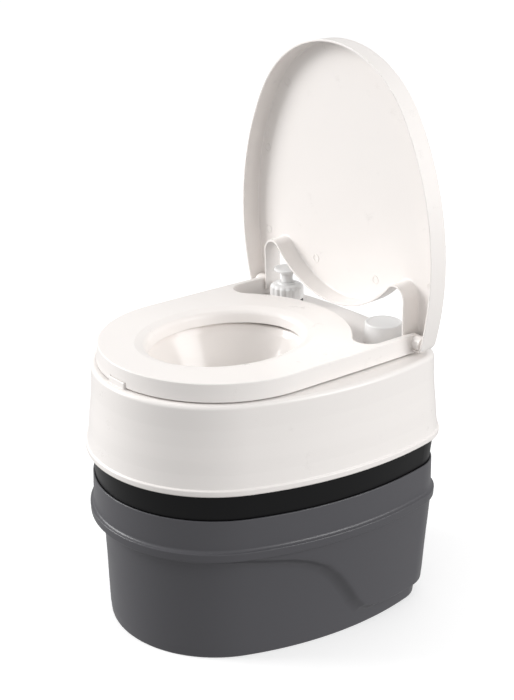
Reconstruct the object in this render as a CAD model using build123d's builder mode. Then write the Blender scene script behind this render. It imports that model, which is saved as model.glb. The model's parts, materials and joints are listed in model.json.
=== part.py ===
from build123d import *
import os
from math import cos, hypot, radians, sin, sqrt

os.makedirs("parts", exist_ok=True)

# Millimetres. +Z up, the front faces -Y, origin on the floor under the middle of the tanks.

# Plan outline that both tanks share: an egg of tangent arcs, wide at the rear.
LENGTH = 413.0
WIDTH = 361.5
WIDEST_Y = 63.0
SIDE_R = 442.6
CORNER_R = 62.7
REAR_R = 835.2

# Heights.
COLLAR_TOP_Z = 193.7
BAND_TOP_Z = 227.7
WATER_BOTTOM_Z = 228.0
DECK_Z = 337.0
WALL = 3.0
GAP = 0.3

# Lower tank: height and outward growth of the plan outline at each level.
WASTE_OUTER = [(0, -23.5), (1.5, -22), (14, -21.5), (46, -19.9), (107, -17.8), (134, -15.6), (138, -12.8),
               (141.4, -8), (142.6, -2.4), (144.5, -0.9), (150.5, -0.9), (152.4, -1.9), (154.2, -5),
               (COLLAR_TOP_Z, -6)]
WASTE_CAVITY = [(3, -25.2), (107, -20.9), (140, -19.5), (150, -8.7), (174, -8.7)]
REAR_PANEL_OUTER = [(14, -22), (16.5, -17.5), (20, -14.2), (28, -12.3), (64, -10), (141.5, -4.6)]
REAR_PANEL_CAVITY = [(19, -22.5), (28, -15.6), (64, -13.2), (134, -9.6), (138, -18.5)]
WASTE_TOP_Z = (174.0, 178.0)

# Upper tank.
WATER_OUTER = [(228, -2.5), (229.5, 0.6), (232, 1.3), (235, 1.2), (236.5, 0), (240, -0.4),
               (254, -2.8), (270, -3.7), (287, -6), (307, -7.6), (326, -8.4), (331, -9.6),
               (335, -12.5), (DECK_Z, -17)]
WATER_CAVITY = [(231, -4.5), (240, -4.5), (270, -7.2), (307, -11), (325, -12), (333.5, -17)]

# Slide valve between the tanks.
VALVE_Y = -40.0
THROAT_R = 48.0
DECK_PLATE_Z = (205.0, 209.0)
BLADE_Z = (215.3, 218.3)
BLADE_R = 56.0
VALVE_HALF_WIDTH = 66.0
VALVE_ENDS_Y = (-106.0, 134.0)
HANDLE_POCKET = (56.0, 174.0, 198.0, 226.0)

# Bowl.
BOWL_Y = -44.0
BOWL_TOP = (100.0, 118.0)

# Hinge line of seat and lid.
HINGE_Y = 148.0
HINGE_Z = 351.0
PIN_R = 4.0
PIN_FIT = 0.06
LID_OPEN_DEG = 88.5

# Seat.
SEAT_Z = (340.7, 361.0)
SEAT_FRONT_Y = -190.3
SEAT_WIDTH = 291.9
SEAT_WIDEST_Y = 20.0
SEAT_SIDE_R = 6000.0
SEAT_LOBE = (142.0, -15.5)
SEAT_POCKET_R = 18.5
SEAT_ARM_INNER_X = 133.5
SEAT_HOLE_Y = -32.0
SEAT_HOLE_TOP = (96.0, 115.0)
SEAT_HOLE_LOW = (81.0, 100.5)

# Lid, measured as if closed.
LID_RIM_Z = 339.5
LID_TOP_Z = 367.0
LID_WALL = 2.6
LID_FRONT_Y = -197.5
LID_WIDTH = 353.0
LID_WIDEST_Y = 52.0
LID_SIDE_R = 348.6
LID_LOBE = (140.0, -5.5)
LID_NOTCH_R = 14.0
LID_ARM_INNER_X = 129.5
ARM_END = 9.0

# Fittings on the deck.
PUMP_XY = (-93.0, 142.0)
CAP_XY = (93.0, 141.0)
PUMP_R = 22.5
CAP_R = 23.5
FLUTES = 24

# Pour spout at the rear of the lower tank.
SPOUT_Z = 100.0
SPOUT_POCKET = (42.0, 62.0, 138.0, 150.0)
SPOUT_R = 22.0
SPOUT_CAP_R = 30.0

# Sliding latches at the rear of the band.
LATCH_Z = 214.0


def unit(a, b):
    """Direction from point a to point b."""
    span = hypot(b[0] - a[0], b[1] - a[1])
    return ((b[0] - a[0]) / span, (b[1] - a[1]) / span)


def on_circle(centre, radius, direction):
    return (centre[0] + radius * direction[0], centre[1] + radius * direction[1])


def front_radius(front_y, width, widest_y, side_r):
    """Radius of the front arc that is tangent to both side arcs."""
    side_x = width / 2 - side_r
    depth = widest_y - front_y
    return (side_r**2 - side_x**2 - depth**2) / (2 * (side_r - depth))


def arc_between(centre, radius, start, end):
    """Arc on a circle, from one direction to the other by the short way."""
    middle = unit((0, 0), (start[0] + end[0], start[1] + end[1]))
    return ThreePointArc(on_circle(centre, radius, start), on_circle(centre, radius, middle),
                         on_circle(centre, radius, end))


def tank_plan(grow):
    """Plan outline of the tanks, moved outwards by grow."""
    front_r = front_radius(-LENGTH / 2, WIDTH, WIDEST_Y, SIDE_R)
    front = (0, -LENGTH / 2 + front_r)
    side = (WIDTH / 2 - SIDE_R, WIDEST_Y)
    rear = (0, LENGTH / 2 - REAR_R)
    side_gap, rear_gap = SIDE_R - CORNER_R, REAR_R - CORNER_R
    span = hypot(side[0] - rear[0], side[1] - rear[1])
    along = (side_gap**2 - rear_gap**2 + span**2) / (2 * span)
    across = sqrt(side_gap**2 - along**2)
    way = unit(side, rear)
    corner = (side[0] + along * way[0] - across * way[1], side[1] + along * way[1] + across * way[0])
    to_front, to_corner, to_rear = unit(side, front), unit(side, corner), unit(rear, corner)
    with BuildSketch() as plan:
        with BuildLine():
            arc_between(front, front_r + grow, (-to_front[0], to_front[1]), to_front)
            for flip in (1, -1):
                with BuildLine(mode=Mode.PRIVATE) as half:
                    arc_between(side, SIDE_R + grow, to_front, to_corner)
                    arc_between(corner, CORNER_R + grow, to_corner, to_rear)
                add(half.line if flip == 1 else mirror(half.line, about=Plane.YZ, mode=Mode.PRIVATE))
            arc_between(rear, REAR_R + grow, to_rear, (-to_rear[0], to_rear[1]))
        make_face()
    return plan.sketch


def stack(levels, plan):
    """Solid through the plan outline at each level."""
    with BuildPart() as body:
        for z, grow in levels:
            with BuildSketch(Plane.XY.offset(z)):
                add(plan(grow))
        loft(ruled=True)
    return body.part


def slab(plan_face, low, high):
    with BuildPart() as body:
        with BuildSketch(Plane.XY.offset(low)):
            add(plan_face)
        extrude(amount=high - low)
    return body.part


def ring(centre, outer_r, inner_r, low, high):
    """Upright ring or, with no inner radius, a disc."""
    with BuildPart() as body:
        with BuildSketch(Plane.XY.offset(low)):
            with Locations(centre):
                Circle(outer_r)
                if inner_r:
                    Circle(inner_r, mode=Mode.SUBTRACT)
        extrude(amount=high - low)
    return body.part


def block(x, y, z):
    """Box between two corners given as (low, high) on each axis."""
    with BuildPart() as body:
        with BuildSketch(Plane.XY.offset(z[0])):
            with Locations(((x[0] + x[1]) / 2, (y[0] + y[1]) / 2)):
                Rectangle(x[1] - x[0], y[1] - y[0])
        extrude(amount=z[1] - z[0])
    return body.part


def rod(plane, radius, length, inner=0.0):
    """Round bar or tube that starts on a plane and runs along its normal."""
    with BuildPart() as body:
        with BuildSketch(plane):
            Circle(radius)
            if inner:
                Circle(inner, mode=Mode.SUBTRACT)
        extrude(amount=length)
    return body.part


def save(piece, name):
    piece.part.label = name
    export_step(piece.part, "parts/" + name + ".step")


def fluted(centre, radius, depth, low, high):
    """Upright drum with shallow flutes round its side."""
    with BuildPart() as body:
        with BuildSketch(Plane.XY.offset(low)):
            with Locations(centre):
                Circle(radius)
                with PolarLocations(radius + depth, FLUTES):
                    Circle(2 * depth, mode=Mode.SUBTRACT)
        extrude(amount=high - low)
    return body.part


def along_x(x, y, z):
    """Plane facing +X at a point."""
    return Plane(origin=(x, y, z), x_dir=(0, 1, 0), z_dir=(1, 0, 0))


def along_y(x, y, z):
    """Plane facing +Y at a point."""
    return Plane(origin=(x, y, z), x_dir=(-1, 0, 0), z_dir=(0, 1, 0))


# --- Lower tank -----------------------------------------------------------------------------------

def rear_panel_zone(inset):
    """Prism across the tank behind the S-shaped step, which falls from the rib to the foot."""
    with BuildPart() as zone:
        with BuildSketch(along_x(-WIDTH, 0, 0)):
            with BuildLine():
                Spline((-92 + inset, 141.5), (-58 + inset, 130), (-10 + inset, 109), (26 + inset, 66),
                       (50 + inset, 31), (95 + inset, 21))
                Polyline((95 + inset, 21), (LENGTH, 12), (LENGTH, 141.5), (-92 + inset, 141.5))
            make_face()
        extrude(amount=2 * WIDTH)
    return zone.part


with BuildPart() as rear_panel:
    add(stack(REAR_PANEL_OUTER, tank_plan))
    add(rear_panel_zone(0), mode=Mode.INTERSECT)

with BuildPart() as rear_cavity:
    add(stack(REAR_PANEL_CAVITY, tank_plan))
    add(rear_panel_zone(WALL + 1), mode=Mode.INTERSECT)

half_x, pocket_low, pocket_high, pocket_y = SPOUT_POCKET
spout_pocket = block((-half_x, half_x), (pocket_y, LENGTH), (pocket_low, pocket_high))
spout_walls = block((-half_x - WALL, half_x + WALL), (pocket_y - WALL, LENGTH),
                    (pocket_low - WALL, pocket_high + WALL))

with BuildPart() as waste_tank:
    add(stack(WASTE_OUTER, tank_plan))
    add(rear_panel.part)
    with BuildPart(mode=Mode.PRIVATE) as hollow:
        add(stack(WASTE_CAVITY, tank_plan))
        add(rear_cavity.part)
        add(spout_walls, mode=Mode.SUBTRACT)
    add(hollow.part, mode=Mode.SUBTRACT)
    add(stack([(WASTE_TOP_Z[1], -8.9), (COLLAR_TOP_Z, -8.9)], tank_plan), mode=Mode.SUBTRACT)
    add(ring((0, VALVE_Y), THROAT_R + 9, 0, WASTE_TOP_Z[0], WASTE_TOP_Z[1]), mode=Mode.SUBTRACT)
    add(spout_pocket, mode=Mode.SUBTRACT)
    add(rod(along_y(0, pocket_y - WALL, SPOUT_Z), SPOUT_R, WALL), mode=Mode.SUBTRACT)
save(waste_tank, "waste_tank")

# Pour spout: a flanged neck in the rear pocket.
NECK_WALL = 3.0
NECK_Y = (pocket_y, 184.0)
with BuildPart() as pour_spout:
    add(rod(along_y(0, NECK_Y[0], SPOUT_Z), SPOUT_R + NECK_WALL, NECK_Y[1] - NECK_Y[0], SPOUT_R))
    add(rod(along_y(0, NECK_Y[0], SPOUT_Z), SPOUT_CAP_R, 4, SPOUT_R))
save(pour_spout, "pour_spout")

SPOUT_GASKET_Y = (NECK_Y[1] + GAP, NECK_Y[1] + 2.3)
with BuildPart() as spout_gasket:
    add(rod(along_y(0, SPOUT_GASKET_Y[0], SPOUT_Z), SPOUT_R + NECK_WALL - 0.5, 2, SPOUT_R - 2))
save(spout_gasket, "spout_gasket")

with BuildPart() as spout_cap:
    with BuildSketch(along_y(0, 158, SPOUT_Z)):
        Circle(SPOUT_CAP_R)
        with PolarLocations(SPOUT_CAP_R + 1.5, FLUTES):
            Circle(3, mode=Mode.SUBTRACT)
    extrude(amount=SPOUT_GASKET_Y[1] + GAP + 4 - 158)
    add(rod(along_y(0, 157, SPOUT_Z), SPOUT_R + NECK_WALL + GAP, SPOUT_GASKET_Y[1] + GAP - 157),
        mode=Mode.SUBTRACT)
save(spout_cap, "spout_cap")

# Cover of the lower tank: the band between the tanks, with the deck that carries the valve.
BAND_GROW = -8.5
BAND_TOP_GROW = -5.0
BAND_LOWER_GROW = -9.2
pocket_x, pocket_back, pocket_base, pocket_top = HANDLE_POCKET


def latch_cut(side, x, y, z):
    """Box for a latch, at its own side of the band."""
    ends = sorted((side * x[0], side * x[1]))
    return block(tuple(ends), y, z)


with BuildPart() as band_cover:
    add(slab(tank_plan(BAND_LOWER_GROW), WASTE_TOP_Z[1], COLLAR_TOP_Z))
    add(stack([(COLLAR_TOP_Z, BAND_GROW), (BAND_TOP_Z, BAND_TOP_GROW)], tank_plan))
    add(slab(tank_plan(BAND_GROW - WALL), WASTE_TOP_Z[1], DECK_PLATE_Z[0]), mode=Mode.SUBTRACT)
    add(slab(tank_plan(BAND_GROW - WALL), DECK_PLATE_Z[1], BAND_TOP_Z), mode=Mode.SUBTRACT)
    with BuildPart(mode=Mode.PRIVATE) as recess_walls:
        add(block((-pocket_x - WALL, pocket_x + WALL), (pocket_back - WALL, LENGTH / 2),
                  (pocket_base - WALL, BAND_TOP_Z)))
        for side in (1, -1):
            add(latch_cut(side, (70, 118), (178, LENGTH / 2), (200, 226)))
        add(slab(tank_plan(BAND_GROW - 1), pocket_base - WALL, BAND_TOP_Z), mode=Mode.INTERSECT)
    add(recess_walls.part)
    add(block((-pocket_x, pocket_x), (pocket_back, LENGTH / 2), (pocket_base, BAND_TOP_Z)),
        mode=Mode.SUBTRACT)
    for side in (1, -1):
        add(latch_cut(side, (73, 115), (181.5, 186.5), (205.5, 222.5)), mode=Mode.SUBTRACT)
        add(latch_cut(side, (73, 115), (186.4, LENGTH / 2), (208.5, 219.5)), mode=Mode.SUBTRACT)
        add(latch_cut(side, (75.5, 84.5), (181.5, 193.5), (207, BAND_TOP_Z)), mode=Mode.SUBTRACT)
    add(block((-10, 10), (pocket_back - WALL, pocket_back), (213, 221)), mode=Mode.SUBTRACT)
    add(ring((0, VALVE_Y), THROAT_R + 5, THROAT_R, WASTE_TOP_Z[0] - 6, DECK_PLATE_Z[0]))
    add(ring((0, VALVE_Y), THROAT_R, 0, DECK_PLATE_Z[0], DECK_PLATE_Z[1]), mode=Mode.SUBTRACT)
save(band_cover, "band_cover")

with BuildPart() as throat_seal:
    add(ring((0, VALVE_Y), THROAT_R + 9, THROAT_R + 5, WASTE_TOP_Z[0] - 1, WASTE_TOP_Z[1] + 2))
save(throat_seal, "throat_seal")

# Slide valve.
BASE_Z = (DECK_PLATE_Z[1], 212.5)
COVER_Z = (BLADE_Z[1] + 2.7, 224.0)
rail_x = (BLADE_R + GAP * 2, VALVE_HALF_WIDTH)
valve_plate = ((-VALVE_HALF_WIDTH, VALVE_HALF_WIDTH), VALVE_ENDS_Y)
screw_spots = [(side * 61.5, y) for side in (1, -1) for y in (-98, -24, 50, 124)]
SCREW_R = 2.0

with BuildPart() as valve_base:
    add(block(*valve_plate, BASE_Z))
    add(ring((0, VALVE_Y), THROAT_R, 0, *BASE_Z), mode=Mode.SUBTRACT)
    for spot in screw_spots:
        add(ring(spot, SCREW_R, 0, *BASE_Z), mode=Mode.SUBTRACT)
save(valve_base, "valve_base")

with BuildPart() as lower_seal:
    add(ring((0, VALVE_Y), THROAT_R + 6, THROAT_R, BASE_Z[1], BLADE_Z[0] - GAP))
save(lower_seal, "lower_seal")

with BuildPart() as upper_seal:
    add(ring((0, VALVE_Y), THROAT_R + 6, THROAT_R, BLADE_Z[1] + GAP, COVER_Z[0]))
save(upper_seal, "upper_seal")

with BuildPart() as valve_cover:
    add(block(*valve_plate, COVER_Z))
    for ends in (rail_x, (-rail_x[1], -rail_x[0])):
        add(block(ends, VALVE_ENDS_Y, (BASE_Z[1], COVER_Z[0])))
    add(block(valve_plate[0], (VALVE_ENDS_Y[0], VALVE_Y - BLADE_R - 1), (BASE_Z[1], COVER_Z[0])))
    add(ring((0, VALVE_Y), THROAT_R, 0, *COVER_Z), mode=Mode.SUBTRACT)
    for spot in screw_spots:
        add(ring(spot, SCREW_R, 0, BASE_Z[1], COVER_Z[1]), mode=Mode.SUBTRACT)
save(valve_cover, "valve_cover")

with BuildPart() as valve_screws:
    for spot in screw_spots:
        add(ring(spot, SCREW_R, 0, BASE_Z[0], COVER_Z[1]))
        add(ring(spot, 2 * SCREW_R, 0, COVER_Z[1], COVER_Z[1] + 2))
save(valve_screws, "valve_screws")

with BuildPart() as valve_blade:
    with BuildSketch(Plane.XY.offset(BLADE_Z[0])):
        with Locations((0, VALVE_Y)):
            Circle(BLADE_R)
        with Locations((0, VALVE_Y + BLADE_R / 2)):
            Rectangle(2 * BLADE_R, BLADE_R)
        with Locations((0, (VALVE_Y + 186) / 2)):
            Rectangle(16, 186 - VALVE_Y)
    extrude(amount=BLADE_Z[1] - BLADE_Z[0])
save(valve_blade, "valve_blade")

HANDLE_Y = (200.0, 206.5)
with BuildPart() as pull_handle:
    with BuildSketch(along_y(0, HANDLE_Y[0], 212)):
        RectangleRounded(84, 20, 6)
    extrude(amount=HANDLE_Y[1] - HANDLE_Y[0])
    fillet(edges().filter_by(Plane.XZ), 1.5)
    add(block((-11, 11), (178, HANDLE_Y[0]), (211, 223)))
    add(block((-8, 8), (178, 186), BLADE_Z), mode=Mode.SUBTRACT)
save(pull_handle, "pull_handle")

# Sliding latches: a captive block with a round tongue each side.
for side, name in ((1, "latch_slide_right"), (-1, "latch_slide_left")):
    with BuildPart() as latch_slide:
        add(latch_cut(side, (91, 113), (181.5 + GAP, 186.4 - GAP), (205.5 + GAP, 222.5 - GAP)))
        add(latch_cut(side, (93, 111), (186.4 - GAP, 194), (208.5 + GAP, 219.5 - GAP)))
        for groove in (97, 102, 107):
            add(latch_cut(side, (groove - 0.8, groove + 0.8), (193, 195), (200, 230)),
                mode=Mode.SUBTRACT)
        add(rod(along_x(86 if side == 1 else -91, 184, LATCH_Z), 2.0, 5))
    save(latch_slide, name)

# --- Upper tank -----------------------------------------------------------------------------------

def bowl_levels(inset):
    """Funnel from the oval rim to the round outlet."""
    levels = [(DECK_Z + 0.5, BOWL_TOP[0], BOWL_TOP[1], BOWL_Y), (318, 93, 111, BOWL_Y + 1),
              (285, 76, 90, BOWL_Y + 3), (252, 58, 62, VALVE_Y), (231, 53, 54, VALVE_Y)]
    with BuildPart() as funnel:
        for z, half_x_size, half_y_size, y in levels:
            with BuildSketch(Plane.XY.offset(z)):
                with Locations((0, y)):
                    Ellipse(half_x_size - inset, half_y_size - inset)
        loft()
    return funnel.part


FILLER_R = 17.0
FILLER_TOP_Z = 356.0
bowl_outer = bowl_levels(0)
with BuildPart() as water_tank:
    add(stack(WATER_OUTER, tank_plan))
    add(stack(WATER_CAVITY, tank_plan), mode=Mode.SUBTRACT)
    add(ring(CAP_XY, FILLER_R + 3, 0, DECK_Z - 2, FILLER_TOP_Z))
    add(ring(CAP_XY, FILLER_R, 0, DECK_Z - 8, FILLER_TOP_Z), mode=Mode.SUBTRACT)
    add(ring(PUMP_XY, 18.5, 0, DECK_Z - 8, DECK_Z), mode=Mode.SUBTRACT)
    add(bowl_outer, mode=Mode.SUBTRACT)
    with BuildSketch(Plane.XY.offset(DECK_Z - 8)):
        with Locations((0, BOWL_Y)):
            Ellipse(*BOWL_TOP)
    extrude(amount=10, mode=Mode.SUBTRACT)
    add(ring((0, VALVE_Y), 54, 0, WATER_BOTTOM_Z, 231.5), mode=Mode.SUBTRACT)
save(water_tank, "water_tank")

with BuildPart() as bowl:
    add(bowl_outer)
    with BuildSketch(Plane.XY.offset(DECK_Z)):
        with Locations((0, BOWL_Y)):
            Ellipse(BOWL_TOP[0] + 4, BOWL_TOP[1] + 4)
    extrude(amount=1.8)
    add(bowl_levels(WALL), mode=Mode.SUBTRACT)
    with BuildSketch(Plane.XY.offset(DECK_Z - 1)):
        with Locations((0, BOWL_Y)):
            Ellipse(BOWL_TOP[0] - WALL, BOWL_TOP[1] - WALL)
    extrude(amount=3, mode=Mode.SUBTRACT)
save(bowl, "bowl")

with BuildPart() as outlet_seal:
    add(ring((0, VALVE_Y), 53.5, THROAT_R, COVER_Z[1] + GAP, 231))
save(outlet_seal, "outlet_seal")

# Bellows pump: barrel under the deck, gasket and fluted nut above it.
BARREL_BOTTOM_Z = 262.0
with BuildPart() as pump_barrel:
    add(ring(PUMP_XY, 18.5, 16.8, BARREL_BOTTOM_Z, DECK_Z))
    add(ring(PUMP_XY, 19, 16.8, DECK_Z, 359))
    add(ring(PUMP_XY, 18.5, 5, BARREL_BOTTOM_Z - 2, BARREL_BOTTOM_Z))
save(pump_barrel, "pump_barrel")

with BuildPart() as pump_gasket:
    add(ring(PUMP_XY, 21.5, 19, DECK_Z, 344))
save(pump_gasket, "pump_gasket")

with BuildPart() as pump_nut:
    add(fluted(PUMP_XY, PUMP_R, 1.2, 345.5, 360))
    with BuildSketch(Plane.XY.offset(360)):
        with Locations(PUMP_XY):
            Circle(PUMP_R - 0.8)
    extrude(amount=4.5, taper=40)
    add(ring(PUMP_XY, 11.5, 0, 364, 366.5))
    add(ring(PUMP_XY, 19 + 0.1, 0, 345, 360.5), mode=Mode.SUBTRACT)
    add(ring(PUMP_XY, 8.0, 0, 360, 367), mode=Mode.SUBTRACT)
save(pump_nut, "pump_nut")

STEM_R = 7.5
STEM_LOW_Z = 304.0
with BuildPart() as pump_knob:
    with BuildSketch(Plane.XZ.offset(-PUMP_XY[1])):
        with BuildLine():
            Polyline((PUMP_XY[0], STEM_LOW_Z), (PUMP_XY[0] + STEM_R, STEM_LOW_Z),
                     (PUMP_XY[0] + STEM_R, 377.5))
            ThreePointArc((PUMP_XY[0] + STEM_R, 377.5), (PUMP_XY[0] + 11, 381.8), (PUMP_XY[0] + 17, 383.4))
            Polyline((PUMP_XY[0] + 17, 383.4), (PUMP_XY[0] + 17, 385), (PUMP_XY[0] + 15.5, 386),
                     (PUMP_XY[0], 385.2), (PUMP_XY[0], STEM_LOW_Z))
        make_face()
    revolve(axis=Axis((PUMP_XY[0], PUMP_XY[1], 0), (0, 0, 1)))
save(pump_knob, "pump_knob")

with BuildPart() as plunger_disc:
    add(ring(PUMP_XY, 16.2, 0, STEM_LOW_Z - 4, STEM_LOW_Z))
save(plunger_disc, "plunger_disc")

BELLOWS_FOLDS = 5
bellows_low, bellows_high = BARREL_BOTTOM_Z, STEM_LOW_Z - 4
fold = (bellows_high - bellows_low) / BELLOWS_FOLDS
with BuildPart() as pump_bellows:
    with BuildSketch(Plane.XZ.offset(-PUMP_XY[1])):
        with BuildLine():
            outside = [(PUMP_XY[0] + (15.8 if step % 2 else 11), bellows_low + step * fold / 2)
                       for step in range(2 * BELLOWS_FOLDS + 1)]
            inside = [(x - 1.6, z) for x, z in reversed(outside)]
            Polyline(*outside, *inside, close=True)
        make_face()
    revolve(axis=Axis((PUMP_XY[0], PUMP_XY[1], 0), (0, 0, 1)))
save(pump_bellows, "pump_bellows")

# Flush hose from the foot of the barrel to the jet under the bowl's rear rim.
JET_Y = BOWL_Y + BOWL_TOP[1] - 8
hose_route = [(PUMP_XY[0] + 18.5, PUMP_XY[1], 270), (PUMP_XY[0] + 55, PUMP_XY[1], 270),
              (0, 118, 300), (0, JET_Y + 6, 318)]
with BuildPart() as flush_hose:
    with BuildLine() as hose_path:
        FilletPolyline(*hose_route, radius=18)
    with BuildSketch(Plane(origin=hose_route[0], z_dir=(1, 0, 0))):
        Circle(5)
    sweep()
save(flush_hose, "flush_hose")

with BuildPart() as flush_jet:
    add(block((-9, 9), (JET_Y - 12, JET_Y + 8), (312, 324)))
    add(bowl_outer, mode=Mode.SUBTRACT)
    add(flush_hose.part, mode=Mode.SUBTRACT)
save(flush_jet, "flush_jet")

# Filler cap and its gasket.
with BuildPart() as filler_gasket:
    add(ring(CAP_XY, FILLER_R + 2.5, FILLER_R - 2, FILLER_TOP_Z + GAP, FILLER_TOP_Z + 2.3))
save(filler_gasket, "filler_gasket")

with BuildPart() as filler_cap:
    add(fluted(CAP_XY, CAP_R, 0.7, DECK_Z + 1.5, 364.5))
    add(ring(CAP_XY, FILLER_R + 3 + GAP, 0, DECK_Z, FILLER_TOP_Z + 2.3 + GAP), mode=Mode.SUBTRACT)
save(filler_cap, "filler_cap")

# Hinge posts inside the seat's hollow arms, and the pins that seat and lid turn on.
POST_X = (136.4, 141.4)
POST_R = 7.0
post_height = HINGE_Z - DECK_Z
with BuildPart() as hinge_posts:
    for x in (POST_X[0], -POST_X[1]):
        with BuildSketch(along_x(x, HINGE_Y, HINGE_Z)):
            Circle(POST_R)
            with Locations((0, -post_height / 2)):
                Rectangle(2 * POST_R, post_height)
            Circle(PIN_R, mode=Mode.SUBTRACT)
        extrude(amount=POST_X[1] - POST_X[0])
save(hinge_posts, "hinge_posts")

PIN_X = (LID_ARM_INNER_X - 1, 160.0)
with BuildPart() as hinge_pins:
    for x in (PIN_X[0], -PIN_X[1]):
        add(rod(along_x(x, HINGE_Y, HINGE_Z), PIN_R, PIN_X[1] - PIN_X[0]))
save(hinge_pins, "hinge_pins")

# Keepers that hang from the upper tank's rear into the band, one for each latch.
with BuildPart() as latch_keepers:
    for side in (1, -1):
        add(latch_cut(side, (77, 83), (182, 192), (209, WATER_BOTTOM_Z + 4)))
        add(rod(along_x(77 if side == 1 else -83, 184.2, LATCH_Z), 2.6, 6), mode=Mode.SUBTRACT)
    add(stack(WATER_OUTER, tank_plan), mode=Mode.SUBTRACT)
save(latch_keepers, "latch_keepers")

# --- Seat -----------------------------------------------------------------------------------------

def rear_edge(lobe, pocket_r, inner_x, grow):
    """Centre and directions of the pocket arc that joins the rear lobe to an arm."""
    lobe_r, lobe_y = lobe
    pocket = (inner_x - pocket_r, lobe_y + sqrt((lobe_r + pocket_r)**2 - (inner_x - pocket_r)**2))
    return pocket, unit((0, lobe_y), pocket), lobe_r + grow, pocket_r - grow


def ring_plan(front_y, width, widest_y, side_r, lobe, pocket_r, inner_x, end_y, grow):
    """Plan of the seat or the lid: round front, arms at the rear and a lobe between two pockets."""
    front_r = front_radius(front_y, width, widest_y, side_r)
    front = (0, front_y + front_r)
    side = (width / 2 - side_r, widest_y)
    to_front = unit(side, front)
    end = end_y
    outer_x = side[0] + sqrt((side_r + grow)**2 - (end - widest_y)**2)
    to_end = unit(side, (outer_x, end))
    pocket, to_pocket, lobe_r, small_r = rear_edge(lobe, pocket_r, inner_x, grow)
    with BuildSketch() as plan:
        with BuildLine():
            arc_between(front, front_r + grow, (-to_front[0], to_front[1]), to_front)
            for flip in (1, -1):
                with BuildLine(mode=Mode.PRIVATE) as half:
                    arc_between(side, side_r + grow, to_front, to_end)
                    Line((outer_x, end), (inner_x - grow, end))
                    Line((inner_x - grow, end), (inner_x - grow, pocket[1]))
                    arc_between(pocket, small_r, (1, 0), (-to_pocket[0], -to_pocket[1]))
                add(half.line if flip == 1 else mirror(half.line, about=Plane.YZ, mode=Mode.PRIVATE))
            arc_between((0, lobe[1]), lobe_r, to_pocket, (-to_pocket[0], to_pocket[1]))
        make_face()
    return plan.sketch


def seat_plan(grow):
    return ring_plan(SEAT_FRONT_Y, SEAT_WIDTH, SEAT_WIDEST_Y, SEAT_SIDE_R, SEAT_LOBE, SEAT_POCKET_R,
                     SEAT_ARM_INNER_X, HINGE_Y + ARM_END, grow)


def hinge_end(radius, low, high, reach):
    """What the arms keep behind the hinge: a round end, squared off above by reach."""
    with BuildPart() as zone:
        with BuildSketch(along_x(-WIDTH / 2, HINGE_Y, HINGE_Z)):
            Circle(radius)
            with Locations((-LENGTH / 2, (low + high) / 2 - HINGE_Z)):
                Rectangle(LENGTH, high - low)
            with Locations((reach / 2 - 1, (HINGE_Z + high) / 2 - HINGE_Z)):
                Rectangle(reach + 2, high - HINGE_Z)
        extrude(amount=WIDTH)
    return zone.part


SEAT_SKIN = 2.5
SEAT_BOSS_R = 8.5
SEAT_BOSS_X = (142.0, 156.0)
SEAT_HOLE_LOW_LEVEL = (SEAT_Z[0], *SEAT_HOLE_LOW)
SEAT_HOLE_LIP_LEVEL = (SEAT_Z[1] - 5, SEAT_HOLE_LOW[0] + 3, SEAT_HOLE_LOW[1] + 3)
SEAT_HOLE_TOP_LEVEL = (SEAT_Z[1], *SEAT_HOLE_TOP)
with BuildPart() as seat_under:
    with BuildSketch(Plane.XY.offset(SEAT_Z[0])):
        add(seat_plan(-SEAT_SKIN))
        with Locations((0, SEAT_HOLE_Y)):
            Ellipse(SEAT_HOLE_TOP[0] + 3, SEAT_HOLE_TOP[1] + 3, mode=Mode.SUBTRACT)
    extrude(amount=SEAT_Z[1] - SEAT_SKIN - SEAT_Z[0])
    for ends in ((SEAT_ARM_INNER_X + SEAT_SKIN, 141.8), (-141.8, -SEAT_ARM_INNER_X - SEAT_SKIN)):
        add(block(ends, (HINGE_Y - 12, HINGE_Y + 20), (SEAT_Z[0], HINGE_Z + POST_R + 0.5)))

with BuildPart() as seat:
    add(stack([(SEAT_Z[0], 0), (SEAT_Z[1] - 4, -1.2), (SEAT_Z[1] - 1.2, -2.4), (SEAT_Z[1], -4.6)],
              seat_plan))
    add(hinge_end(10, SEAT_Z[0], SEAT_Z[1], 8), mode=Mode.INTERSECT)
    for low, high in ((SEAT_HOLE_LOW_LEVEL, SEAT_HOLE_LIP_LEVEL), (SEAT_HOLE_LIP_LEVEL, SEAT_HOLE_TOP_LEVEL)):
        for z, half_x, half_y in (low, high):
            with BuildSketch(Plane.XY.offset(z)):
                with Locations((0, SEAT_HOLE_Y)):
                    Ellipse(half_x, half_y)
        loft(mode=Mode.SUBTRACT)
    add(seat_under.part, mode=Mode.SUBTRACT)
    add(block((-15, 15), (SEAT_FRONT_Y - 5, SEAT_FRONT_Y + 4), (SEAT_Z[0], SEAT_Z[0] + 4)),
        mode=Mode.SUBTRACT)
    for x in (SEAT_BOSS_X[0], -SEAT_BOSS_X[1]):
        add(rod(along_x(x, HINGE_Y, HINGE_Z), SEAT_BOSS_R, SEAT_BOSS_X[1] - SEAT_BOSS_X[0]))
    add(rod(along_x(-WIDTH / 2, HINGE_Y, HINGE_Z), PIN_R + PIN_FIT, WIDTH), mode=Mode.SUBTRACT)
save(seat, "seat")

BUMPER_SPOTS = [(98, -128), (-98, -128), (132, 60), (-132, 60)]
with BuildPart() as seat_bumpers:
    for spot in BUMPER_SPOTS:
        add(ring(spot, 5, 0, DECK_Z + GAP, SEAT_Z[1] - SEAT_SKIN))
save(seat_bumpers, "seat_bumpers")

# --- Lid, drawn closed and then stood open on its hinge -------------------------------------------

def lid_plan(grow):
    return ring_plan(LID_FRONT_Y, LID_WIDTH, LID_WIDEST_Y, LID_SIDE_R, LID_LOBE, LID_NOTCH_R,
                     LID_ARM_INNER_X, HINGE_Y + ARM_END, grow)


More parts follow.
